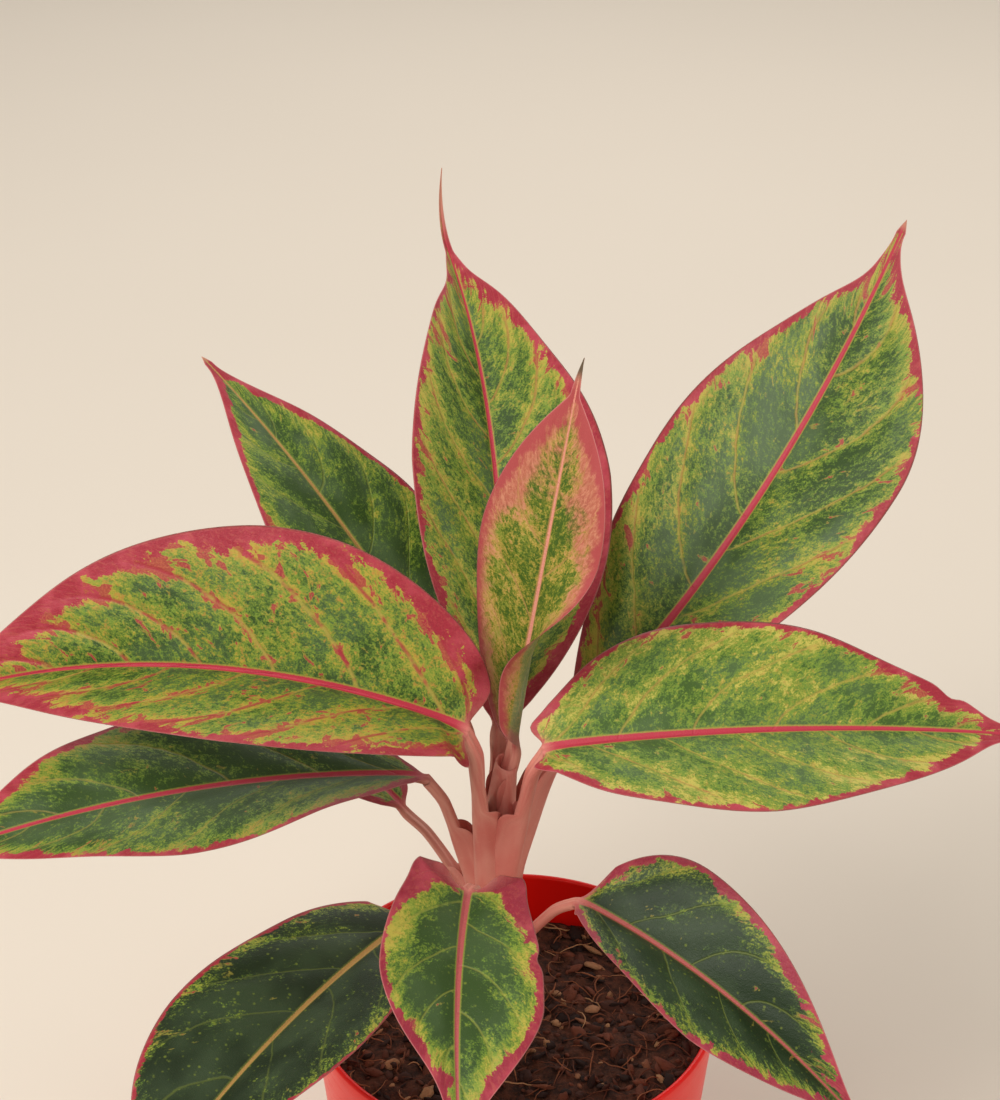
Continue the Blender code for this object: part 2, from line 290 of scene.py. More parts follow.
def stem_at(z):
    """Centre and radius of the stem at heights z, all in metres."""
    heights = [ring.z * MM for ring in STEM_RINGS]
    x, y, radius = (
        np.interp(z, heights, [getattr(ring, field) * MM for ring in STEM_RINGS])
        for field in ("x", "y", "radius")
    )
    return np.stack([x, y, np.asarray(z, float)], axis=-1), radius


def make_stem(material):
    """The bundle's core: a tube with faint joints, flutes and an open, slanted mouth at its top."""
    low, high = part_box("stem")
    z = np.linspace(low.z, high.z, STEM_STATIONS)
    centre, radius = stem_at(z)
    core = radius * (STEM_CORE + (1 - STEM_CORE) * smoothstep(*STEM_BARE, z))
    core *= 1 + 0.05 * smoothstep(0.115, 0.095, z)
    core += SCAR_HEIGHT * sum(np.exp(-((z - at) / SCAR_REACH) ** 2) for at in STEM_SCARS)
    rings = []
    angle = np.linspace(0, 2 * math.pi, STEM_SIDES, endpoint=False)
    cosine, sine = circle(STEM_SIDES)
    for i, height in enumerate(z):
        flute = 1 + 0.02 * np.sin(3 * angle + 22 * height) + 0.012 * np.sin(7 * angle - 40 * height)
        reach = core[i] * flute
        slant = MOUTH_SLANT * smoothstep(0.97, 1, i / (STEM_STATIONS - 1)) * (np.cos(angle - 2.2) - 1)
        rings.append(np.stack([
            centre[i, 0] + reach * cosine,
            centre[i, 1] + reach * sine,
            height + slant,
        ], axis=-1))
    mouth = rings[-1]
    middle = centre[-1]
    for share, drop in MOUTH_STEPS:
        ring = middle + (mouth - middle) * (share, share, 1)
        ring[:, 2] -= drop * MM
        rings.append(ring)
    tips = [rings[0].mean(axis=0), rings[-1].mean(axis=0)]
    mesh = mesh_from("stem_grown", np.concatenate([*rings, tips]), loft_faces(len(rings), STEM_SIDES))
    add_piece("stem_grown", mesh, ["stem"], material)


# ---- leaves ----

def half_width(leaf, t, left):
    """Half of the blade's width at shares t of its length, on its left or right half."""
    widest = leaf.widest + (leaf.skew if left else -leaf.skew)
    base = (1 - (1 - np.minimum(t / widest, 1)) ** 2) ** leaf.outline.fullness
    taper = np.clip((t - widest) / (1 - widest), 0, 1) ** leaf.outline.shoulder
    tip = (1 - taper) ** leaf.outline.point
    width = leaf.width * MM / 2 * np.where(t < widest, base, tip)
    for half, place, reach, depth in SHAPES[leaf.name].dents:
        if (half == "left") == left:
            width = width * (1 - depth * np.exp(-((t - place) / reach) ** 2))
    return width


def blade_frame(leaf, t):
    """Directions along, across to the left of, and out of the blade at shares t."""
    heading = np.radians(leaf.heading + leaf.swing * t)
    slope = np.radians(leaf.rise - leaf.droop * t)
    roll = np.radians(leaf.roll + leaf.twist * t)[..., None]
    flat = np.cos(slope)
    along = np.stack([flat * np.cos(heading), flat * np.sin(heading), np.sin(slope)], axis=-1)
    level = np.stack([-np.sin(heading), np.cos(heading), np.zeros_like(heading)], axis=-1)
    across = level * np.cos(roll) + np.cross(along, level) * np.sin(roll)
    return along, across, np.cross(along, across)


def blade_path(leaf):
    """Stations of the blade and its drip tip: share, centre, along, across, normal."""
    u = np.linspace(0, 1, BLADE_RINGS)
    t = 0.45 * u + 0.55 * (1 - np.cos(math.pi * u)) / 2
    fine = np.linspace(0, 1, 801)
    step = blade_frame(leaf, (fine[1:] + fine[:-1]) / 2)[0] * (leaf.length * MM / 800)
    spine = np.concatenate([[[0, 0, 0]], np.cumsum(step, axis=0)]) + np.array(leaf.base) * MM
    centre = np.stack([np.interp(t, fine, spine[:, k]) for k in range(3)], axis=1)
    along, across, normal = blade_frame(leaf, t)
    for i in range(1, TAIL_RINGS + 1):
        turn = math.radians(leaf.bend) / TAIL_RINGS
        ahead = along[-1] * math.cos(turn) + normal[-1] * math.sin(turn)
        out = normal[-1] * math.cos(turn) - along[-1] * math.sin(turn)
        place = centre[-1] + ahead * leaf.tail * MM / TAIL_RINGS
        t = np.append(t, 1 + i / TAIL_RINGS * leaf.tail / leaf.length)
        centre = np.vstack([centre, place])
        along = np.vstack([along, ahead])
        across = np.vstack([across, across[-1]])
        normal = np.vstack([normal, out])
    return t, centre, along, across, normal


def stalk_path(leaf):
    """Stations of the sheath and petiole, from low on the stem to the blade's base."""
    side = math.radians(leaf.side)
    outward = np.array([math.cos(side), math.sin(side), 0])
    up = np.array([0, 0, 1.0])
    joint = leaf.joint * MM
    low = np.linspace(joint - SHEATH_LENGTH, joint - 2 * MM, 12)
    middle, radius = stem_at(low)
    clasp = middle + outward * (radius * PETIOLE_EMBED * smoothstep(3 * MM, 6 * MM, radius))[:, None]
    centre, radius = stem_at(joint)
    start = centre + outward * radius * PETIOLE_EMBED * smoothstep(3 * MM, 6 * MM, radius)
    end = np.array(leaf.base) * MM
    ahead = blade_frame(leaf, np.zeros(1))[0][0]
    reach = np.linalg.norm(end - start)
    chord = (end - start) / reach
    first = start + unit(chord + up * PETIOLE_RISE) * reach * 0.4
    arrival = PETIOLE_TURN + PETIOLE_RUN * max(0.0, float(chord @ ahead)) ** 3
    second = end - ahead * reach * arrival
    u = np.linspace(0, 1, 40)[:, None]
    w = 1 - u
    free = start * w**3 + first * (3 * w * w * u) + second * (3 * w * u * u) + end * u**3
    path, length = resample(smooth_path(np.vstack([clasp, free]), 10), SHEATH_RINGS + PETIOLE_RINGS)
    along = unit(np.gradient(path, axis=0))
    along[-1] = ahead
    across = np.zeros_like(path)
    across[-1] = blade_frame(leaf, np.zeros(1))[1][0]
    for i in range(len(path) - 2, -1, -1):
        across[i] = unit(across[i + 1] - along[i] * (across[i + 1] @ along[i]))
    wanted = unit(np.cross(-outward, along[0]))
    spare = np.cross(along[0], across[0])
    turn = math.atan2(wanted @ spare, wanted @ across[0])
    s = np.linspace(0, 1, len(path))
    angle = (turn * smoothstep(0.9, 0.35, s))[:, None]
    across = across * np.cos(angle) + np.cross(along, across) * np.sin(angle)
    return path, along, across, np.cross(along, across), np.linspace(-length, 0, len(path))


def section_shares():
    """Places of a section's points between the right and left margins, closer at the midrib and edges."""
    u = np.linspace(0, 1, HALF_POINTS)
    v = u ** 1.4
    v[-2] = (v[-2] + 2) / 3
    return np.concatenate([v[::-1], -v[1:]])


def blade_halves(leaf, t, rib, tail):
    """Widths and curls of the left half and of the right half at each station."""
    inroll = SHAPES[leaf.name].inroll
    taper = TIP_WIDTH * smoothstep(0.8, 0.97, t) * (1 - tail) ** 0.8
    widths = []
    curls = []
    for left in (True, False):
        width = np.hypot(half_width(leaf, np.minimum(t, 1), left), taper)
        widths.append(np.maximum(width, rib * 0.8))
        curl = np.full(len(t), MARGIN_CURL)
        if inroll and (inroll[0] == "left") == left:
            begin, stop, degrees = inroll[1:]
            swell = smoothstep(begin, begin + 0.1, t) * smoothstep(stop, begin + 0.2, t)
            curl += math.radians(degrees) * swell
        curls.append(np.where(np.abs(curl) < 1e-3, 1e-3, curl))
    return widths, curls


def quilting(leaf, rank, t, v, width):
    """Relief between the lateral veins and along the margins, and the veins' phase and spacing."""
    shape = SHAPES[leaf.name]
    t = t[:, None]
    left = v >= 0
    a = np.abs(v)[None, :]
    phase = (t - VEIN_LEAN * a ** 1.35) * shape.veins + np.where(left, 0.15, 0.6)[None, :]
    phase = phase + 0.10 * np.sin(9 * t + 3 * v[None, :] + rank)
    slant = VEIN_LEAN * 1.35 * a ** 0.35 / np.maximum(width, 2 * MM)
    spacing = 1 / (shape.veins * np.sqrt((1 / (leaf.length * MM)) ** 2 + slant ** 2))
    calm = smoothstep(0.03, 0.25, a) * smoothstep(1.0, 0.7, a)
    calm = calm * smoothstep(0.02, 0.15, t) * smoothstep(1.0, 0.8, t)
    size = np.minimum(1, width / FULL_RELIEF_WIDTH)
    relief = QUILT_DEPTH * (np.abs(np.sin(math.pi * phase)) ** 0.8 - 0.5) * calm * size
    crest = np.where(left, shape.crests[0], shape.crests[1])[None, :] * t
    swing = np.sin(2 * math.pi * crest + np.where(left, rank, rank + 1.7)[None, :])
    ends = smoothstep(0.04, 0.3, t) * smoothstep(1.0, 0.75, t)
    relief += shape.wave * MM * swing * a ** 2.5 * ends * size
    return relief, phase, spacing


def stalk_sections(wings, rank, centre, s, v, rib):
    """Across, top and bottom of a round, grooved petiole that opens into a sheath clasping the stem.

    Also how much of each section is sheath, and the petiole's radius.
    """
    rise = s - s[0]
    sheath = (1 - smoothstep(wings - WING_TAPER, wings, rise))[:, None]
    angle = np.linspace(0, math.pi, len(v))[None, :]
    _, stem_radius = stem_at(centre[:, 2])
    girth = (rib * (1 + PETIOLE_FLARE * smoothstep(1.3 * wings, 0.3 * wings, rise)))[:, None]
    groove = 0.35 * girth * np.exp(-(np.cos(angle) / 0.45) ** 2)
    opening = smoothstep(0.4 * SHEATH_LENGTH, wings, rise)[:, None]
    clasp = (stem_radius * PETIOLE_EMBED + SHEATH_LAYER * rank)[:, None]
    tuck = SHEATH_TUCK * clasp * smoothstep(9 * MM, 0, rise)[:, None]
    wrap = clasp - tuck + (WING_ROOM * girth - clasp) * opening
    reach = v * wrap * (FULL_WRAP + (WING_WRAP - FULL_WRAP) * opening)
    wing_z = tuck + wrap * (1 - np.cos(reach / wrap))
    sunk = smoothstep(-4 * MM, 1.2 * SHEATH_LENGTH, rise)[:, None]
    ridge = girth * sunk * np.clip(1 - (reach / (1.35 * girth)) ** 2, 0, 1) ** 0.8
    skin = SHEATH_SKIN * np.sqrt(np.clip(1 - v * v, 0, 1))
    sag = 0.8 * girth * smoothstep(-12 * MM, -1 * MM, s)[:, None]
    bare = 1 - sheath
    x = sheath * wrap * np.sin(reach / wrap) + bare * girth * np.cos(angle)
    top = sheath * (wing_z + skin) + bare * (0.85 * girth * np.sin(angle) - groove) - sag
    bottom = sheath * (wing_z - skin - ridge) - bare * girth * np.sin(angle) - sag
    return x, top, bottom, sheath, girth


def make_leaf(leaf, rank, material):
    """A closed loft from the sheath to the drip tip. rank counts the leaves down from the youngest."""
    shape = SHAPES[leaf.name]
    *stalk, stalk_s = stalk_path(leaf)
    t, *blade = blade_path(leaf)
    centre, along, across, normal = (np.vstack([low[:-1], high]) for low, high in zip(stalk, blade))
    s = np.concatenate([stalk_s[:-1], t * leaf.length * MM])
    t = np.concatenate([np.zeros(len(stalk_s) - 1), t])
    inside = np.minimum(t, 1)
    tail = np.clip((t - 1) / (leaf.tail / leaf.length), 0, 1)
    stalk_radius = shape.stalk * MM
    rib = stalk_radius + (MIDRIB_TIP_RADIUS - stalk_radius) * inside ** 0.7
    rib *= 1 - 0.6 * tail

    # the blade: a fold at the midrib and a curl in each half
    widths, curls = blade_halves(leaf, t, rib, tail)
    v = section_shares()
    left = v >= 0
    a = np.abs(v)[None, :]
    width = np.where(left, widths[0][:, None], widths[1][:, None])
    curl = np.where(left, curls[0][:, None], curls[1][:, None])
    fold = (math.radians(leaf.fold) * np.minimum(1, t / 0.06))[:, None]
    x = np.sign(v) * (np.sin(fold + curl * a) - np.sin(fold)) / curl * width
    z = (np.cos(fold) - np.cos(fold + curl * a)) / curl * width
    relief, phase, spacing = quilting(leaf, rank, t, v, width)
    skin = BLADE_HALF_THICKNESS * (1 - inside[:, None] / 2) * np.sqrt(np.clip(1 - a * a, 0, 1))

    # midrib: sunk a little above, standing out below
    near = a * width / np.maximum(rib[:, None], 1e-6)
    channel = 0.22 * rib[:, None] * np.exp(-(near / 0.9) ** 2)
    keel = 1.15 * rib[:, None] * np.clip(1 - (near / 1.7) ** 2, 0, 1) ** 1.5
    top = z + relief + skin - channel
    bottom = z + relief - skin - keel

    # the stalk runs over into the blade
    wings = SHEATH_LENGTH + shape.wings * MM
    stalk_x, stalk_top, stalk_bottom, sheath, girth = stalk_sections(wings, rank, centre, s, v, rib)
    m = smoothstep(-2.5 * MM, 5 * MM, s)[:, None]
    x = m * x + (1 - m) * stalk_x
    top = m * top + (1 - m) * stalk_top
    bottom = m * bottom + (1 - m) * stalk_bottom

    # heart lobes reach back, and the sheath's shoulders reach up
    fade = (np.clip(1 - t / 0.35, 0, 1) ** 2 * smoothstep(0, 0.03, t))[:, None]
    rise = (s - s[0])[:, None]
    ear = WING_TIP * smoothstep(wings - 1.5 * WING_TAPER, wings - 0.3 * WING_TAPER, rise) * sheath
    pull = (ear - leaf.lobe * MM * fade) * a ** 2

    def place(out):
        return (centre[:, None, :] + across[:, None, :] * x[..., None]
                + normal[:, None, :] * out[..., None] + along[:, None, :] * pull[..., None])

    ring = np.concatenate([place(top), place(bottom)[:, -2:0:-1]], axis=1)
    count, size_round = ring.shape[:2]
    points = np.vstack([ring.reshape(-1, 3), centre[0], centre[-1] + along[-1] * 0.3 * MM])
    mesh = mesh_from(leaf.name + "_grown", points, loft_faces(count, size_round))

    # what the material reads
    slopes = [np.gradient(w, s + 1e-9 * np.arange(len(s)))[:, None] for w in widths]
    steep = np.sqrt(1 + np.where(left, slopes[0], slopes[1]) ** 2)
    edge = (1 - a) * width / np.minimum(steep, 3) + 0.7 * leaf.lobe * MM * fade * (1 - a * a)
    sideways = np.sign(v)[None, :] * a * (m * width + (1 - m) * girth * 1.5)
    grids = {
        "leaf_place": (sideways, s[:, None], 0.37 * rank),
        "leaf_field": (edge, inside[:, None], m),
        "leaf_vein": (phase, spacing, sheath),
    }
    columns = np.concatenate([np.arange(len(v)), np.arange(len(v) - 2, 0, -1)])
    for name, parts in grids.items():
        parts = [np.broadcast_to(part, sideways.shape) for part in parts]
        flat = [np.append(part[:, columns].reshape(-1), [part[0, 0], part[-1, 0]]) for part in parts]
        put_attribute(mesh, name, *flat)
    upper = np.concatenate([np.ones(len(v)), np.zeros(len(v) - 2)])
    upper[[0, len(v) - 1]] = 0.5
    put_attribute(mesh, "leaf_upper", np.append(np.tile(upper, count), [0.5, 0.5]))
    add_piece(leaf.name + "_grown", mesh, [leaf.name], material)


# ---- pot ----

def outer_radius(z):
    return RIM_RADIUS - (POT_HEIGHT - z) * math.tan(WALL_TAPER)


def arc(centre_r, centre_z, radius, start, end, steps):
    """Points (r, z) of an arc between two angles in degrees."""
    angles = np.radians(np.linspace(start, end, steps + 1))
    return [(centre_r + radius * math.cos(a), centre_z + radius * math.sin(a)) for a in angles]


def make_pot(material):
    lip = WALL / 2
    profile = arc(outer_radius(0) - BASE_FILLET, BASE_FILLET, BASE_FILLET, -90, 0, 8)
    for i in range(1, WALL_STEPS):
        z = BASE_FILLET + (POT_HEIGHT - lip - BASE_FILLET) * i / WALL_STEPS
        profile.append((outer_radius(z), z))
    profile += arc(RIM_RADIUS - lip, POT_HEIGHT - lip, lip, 0, 180, 10)
    for i in range(1, WALL_STEPS):
        z = POT_HEIGHT - lip - (POT_HEIGHT - lip - 2 * FLOOR_THICKNESS) * i / WALL_STEPS
        profile.append((outer_radius(z) - WALL, z))
    inner = outer_radius(FLOOR_THICKNESS) - WALL
    profile += arc(inner - INNER_FILLET, FLOOR_THICKNESS + INNER_FILLET, INNER_FILLET, 0, -90, 5)
    cosine, sine = circle(POT_SIDES)
    points = [(r * c, r * s, z) for r, z in profile for c, s in zip(cosine, sine)]
    points += [(0, 0, profile[0][1]), (0, 0, profile[-1][1])]
    mesh = mesh_from("pot_turned", np.array(points), loft_faces(len(profile), POT_SIDES))
    blank = bpy.data.objects.new("pot_blank", mesh)
    bpy.context.scene.collection.objects.link(blank)
    holes = bmesh.new()
    for i in range(DRAIN_HOLES):
        angle = 2 * math.pi * (i + 0.5) / DRAIN_HOLES
        made = bmesh.ops.create_cone(
            holes, cap_ends=True, segments=32, radius1=DRAIN_RADIUS, radius2=DRAIN_RADIUS,
            depth=4 * FLOOR_THICKNESS)
        shift = Vector((DRAIN_CIRCLE * math.cos(angle), DRAIN_CIRCLE * math.sin(angle), 0))
        bmesh.ops.translate(holes, verts=made["verts"], vec=shift)
    hole_mesh = bpy.data.meshes.new("drain_holes")
    holes.to_mesh(hole_mesh)
    holes.free()
    cutter = bpy.data.objects.new("drain_holes", hole_mesh)
    bpy.context.scene.collection.objects.link(cutter)
    modifier = blank.modifiers.new("holes", "BOOLEAN")
    modifier.operation = "DIFFERENCE"
    modifier.object = cutter
    evaluated = blank.evaluated_get(bpy.context.evaluated_depsgraph_get())
    final = bpy.data.meshes.new_from_object(evaluated)
    final.name = "pot_turned"
    for thing in (blank, cutter):
        bpy.data.objects.remove(thing, do_unlink=True)
    final.materials.clear()
    final.shade_smooth()
    final.set_sharp_from_angle(angle=math.radians(35))
    add_piece("pot_turned", final, ["pot"], material)


# ---- soil ----

def soil_height(x, y):
    """Height of the soil's surface: a low mound with lumps."""
    r = math.hypot(x, y) / RIM_RADIUS
    place = Vector((x, y, 0)) / (9 * MM)
    lumps = noise.fractal(place, 0.9, 2.1, 4)
    fine = noise.noise(Vector((x, y, 0.3)) / (2.2 * MM))
    return SOIL_TOP - 1.5 * MM - SOIL_EDGE_DROP * r * r + SOIL_ROUGHNESS * (lumps + 0.35 * fine)


def make_soil(material):
    """A plug that follows the pot's wall, with a lumpy top and a pocket round the stem."""
    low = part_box("soil")[0].z
    around = np.stack(circle(SOIL_SECTORS), axis=1)
    stem_foot, foot_radius = stem_at(STEM_RINGS[0].z * MM)
    stem_top, top_radius = stem_at(SOIL_TOP)
    hole = stem_top[:2] + around * (top_radius * STEM_CORE * 1.1 + POCKET_GAP)
    wall = around * (outer_radius(SOIL_TOP - 4 * MM) - WALL - SOIL_GAP)
    base = around * (outer_radius(low) - WALL - SOIL_GAP - 2 * MM)
    rings = [np.column_stack([base, np.full(SOIL_SECTORS, low)])]
    for i in range(SOIL_RINGS + 1):
        share = (i / SOIL_RINGS) ** 0.8
        flat = wall + (hole - wall) * share
        heights = [soil_height(x, y) for x, y in flat]
        rings.append(np.column_stack([flat, heights]))
    floor_ring = stem_foot[:2] + around * (foot_radius * STEM_CORE * 1.1 + POCKET_GAP)
    rings.append(np.column_stack([floor_ring, np.full(SOIL_SECTORS, stem_foot[2] - SOIL_GAP)]))
    tips = [(0, 0, low), (stem_foot[0], stem_foot[1], stem_foot[2] - SOIL_GAP)]
    mesh = mesh_from("soil_bed", np.concatenate([*rings, tips]), loft_faces(len(rings), SOIL_SECTORS))
    add_piece("soil_bed", mesh, ["soil"], material)


def soil_spot(rng, margin):
    """A random place on the soil, clear of the wall and the stem."""
    stem_top = stem_at(SOIL_TOP)[0]
    while True:
        r = (outer_radius(SOIL_TOP) - WALL - margin) * math.sqrt(rng.random())
        angle = 2 * math.pi * rng.random()
        x = r * math.cos(angle)
        y = r * math.sin(angle)
        if math.hypot(x - stem_top[0], y - stem_top[1]) > STEM_CLEARANCE + margin:
            return x, y


def make_chips(material):
    """Loose bark and coir chips on the soil."""
    rng = np.random.default_rng(7)
    bm = bmesh.new()
    bmesh.ops.create_icosphere(bm, subdivisions=2, radius=1)
    ball = np.array([vert.co for vert in bm.verts])
    ball_faces = np.array([[vert.index for vert in face.verts] for face in bm.faces])
    bm.free()
    points = []
    faces = []
    shades = []
    for i in range(CHIPS):
        big = rng.random() ** 2.5
        size = (CHIP_SMALLEST + CHIP_GROWTH * big) * rng.uniform(0.7, 1.3, 3)
        lumps = np.array([noise.noise(Vector(p) * 1.3 + Vector((i, 2 * i, 0))) for p in ball])
        chip = ball * size * (1 + 0.55 * lumps)[:, None]
        yaw, pitch, roll = rng.uniform(0, 2 * math.pi), rng.normal(0, 0.45), rng.normal(0, 0.5)
        chip = chip @ np.array(Euler((roll, pitch, yaw)).to_matrix()).T
        x, y = soil_spot(rng, 1.0 * MM + size[0])
        chip += (x, y, soil_height(x, y) + 0.35 * size[2])
        faces.append(ball_faces + len(ball) * i)
        points.append(chip)
        shades.append(np.full(len(ball), rng.random()))
    mesh = mesh_from("bark_chips", np.concatenate(points), np.concatenate(faces).tolist())
    put_attribute(mesh, "crumb", np.concatenate(shades))
    add_piece("bark_chips", mesh, [], material)


def make_fibres(material):
    """Fine coir fibres lying across the soil."""
    rng = np.random.default_rng(11)
    stem_top = stem_at(SOIL_TOP)[0]
    cosine, sine = circle(FIBRE_SIDES)
    points = []
    faces = []
    shades = []
    first = 0
    for _ in range(FIBRES):
        stride = rng.uniform(*FIBRE_LENGTHS) * MM / FIBRE_STEPS
        radius = rng.uniform(*FIBRE_RADII) * MM
        x, y = soil_spot(rng, 3 * MM)
        heading = rng.uniform(0, 2 * math.pi)
        bend = rng.normal(0, 0.16)
        lift = rng.uniform(0.2, 1.3) * MM
        spine = []
        for j in range(FIBRE_STEPS):
            arch = FIBRE_ARCH * math.sin(j / FIBRE_STEPS * math.pi)
            spine.append((x, y, soil_height(x, y) + lift + arch))
            x += math.cos(heading) * stride
            y += math.sin(heading) * stride
            heading += bend + rng.normal(0, 0.08)
        spine = np.array(spine)
        reach = np.hypot(spine[:, 0], spine[:, 1]).max()
        close = np.hypot(spine[:, 0] - stem_top[0], spine[:, 1] - stem_top[1]).min()
        if reach > outer_radius(SOIL_TOP) - WALL - 1.5 * MM or close < STEM_CLEARANCE + MM:
            continue
        ahead = unit(np.gradient(spine, axis=0))
        side = unit(np.cross(ahead, (0, 0, 1)))
        over = np.cross(side, ahead)
        thick = radius * np.sin(np.linspace(0.25, math.pi - 0.25, FIBRE_STEPS)) ** 0.5
        ring = spine[:, None, :] + thick[:, None, None] * (
            side[:, None, :] * cosine[None, :, None] + over[:, None, :] * sine[None, :, None])
        points.append(np.concatenate([ring.reshape(-1, 3), spine[[0, -1]]]))
        faces += loft_faces(FIBRE_STEPS, FIBRE_SIDES, first)
        shades.append(np.full(len(points[-1]), rng.random()))
        first += len(points[-1])
    mesh = mesh_from("coir_fibres", np.concatenate(points), faces)
    put_attribute(mesh, "crumb", np.concatenate(shades))
    add_piece("coir_fibres", mesh, [], material)


# ---- materials ----

def srgb(red, green, blue):
    """A display colour (0 to 255) as linear RGBA."""
    shares = [c / 255 for c in (red, green, blue)]
    linear = [c / 12.92 if c <= 0.04045 else ((c + 0.055) / 1.055) ** 2.4 for c in shares]
    return (*linear, 1.0)


def arithmetic(operation, swapped=False):
    def method(self, other=0.0):
        return self.graph.math(operation, *((other, self) if swapped else (self, other)))
    return method


class Value:
    """A node output that can be used in arithmetic."""

    def __init__(self, graph, socket):
        self.graph = graph
        self.socket = socket

    __add__ = __radd__ = arithmetic("ADD")
    __mul__ = __rmul__ = arithmetic("MULTIPLY")
    __sub__ = arithmetic("SUBTRACT")
    __rsub__ = arithmetic("SUBTRACT", swapped=True)
    __abs__ = arithmetic("ABSOLUTE")


class Graph:
    """The node tree of one material, written as expressions."""

    def __init__(self, name):
        self.material = bpy.data.materials.new(name)
        self.material.use_nodes = True
        self.tree = self.material.node_tree
        self.shader = self.tree.nodes["Principled BSDF"]

    def put(self, socket, value):
        if isinstance(value, Value):
            self.tree.links.new(value.socket, socket)
        else:
            socket.default_value = value

    def node(self, kind, inputs, output=0, **settings):
        made = self.tree.nodes.new(kind)
        for key, value in settings.items():
            setattr(made, key, value)
        for key, value in inputs.items():
            self.put(made.inputs[key], value)
        return Value(self, made.outputs[output])

    def math(self, operation, a, b=0.0):
        return self.node("ShaderNodeMath", {0: a, 1: b}, operation=operation)

    def attribute(self, name, output="Vector"):
        return self.node("ShaderNodeAttribute", {}, output, attribute_name=name)

    def object_place(self):
        return self.node("ShaderNodeTexCoord", {}, "Object")

    def split(self, vector):
        parts = self.node("ShaderNodeSeparateXYZ", {0: vector})
        return tuple(Value(self, output) for output in parts.socket.node.outputs)

    def join(self, x, y, z):
        return self.node("ShaderNodeCombineXYZ", {0: x, 1: y, 2: z})

    def noise(self, place, scale, detail=2.0, roughness=0.5, distortion=0.0):
        return self.node("ShaderNodeTexNoise", {
            "Vector": place, "Scale": scale, "Detail": detail, "Roughness": roughness,
            "Distortion": distortion})

    def cells(self, place, scale):
        return self.node("ShaderNodeTexVoronoi", {"Vector": place, "Scale": scale}, "Distance")

    def step(self, value, low, high):
        """0 below low, 1 above high and smooth between."""
        return self.node(
            "ShaderNodeMapRange", {"Value": value, "From Min": low, "From Max": high},
            interpolation_type="SMOOTHSTEP")

    def ramp(self, value, stops):
        made = self.tree.nodes.new("ShaderNodeValToRGB")
        band = made.color_ramp
        while len(band.elements) < len(stops):
            band.elements.new(0.5)
        for element, (place, colour) in zip(band.elements, stops):
            element.position = place
            element.color = colour
        self.put(made.inputs[0], value)
        return Value(self, made.outputs[0])

    def mix(self, share, a, b):
        made = self.tree.nodes.new("ShaderNodeMix")
        made.data_type = "RGBA"
        sockets = {s.identifier: s for s in made.inputs}
        self.put(sockets["Factor_Float"], share)
        self.put(sockets["A_Color"], a)
        self.put(sockets["B_Color"], b)
        return Value(self, next(s for s in made.outputs if s.identifier == "Result_Color"))

    def finish(self, colour, roughness, height=None, depth=0.1 * MM, **constants):
        self.put(self.shader.inputs["Base Color"], colour)
        self.put(self.shader.inputs["Roughness"], roughness)
        for key, value in constants.items():
            self.shader.inputs[key.replace("_", " ")].default_value = value
        if height:
            bump = self.node("ShaderNodeBump", {"Height": height, "Distance": depth, "Strength": 1.0})
            self.put(self.shader.inputs["Normal"], bump)
        return self.material


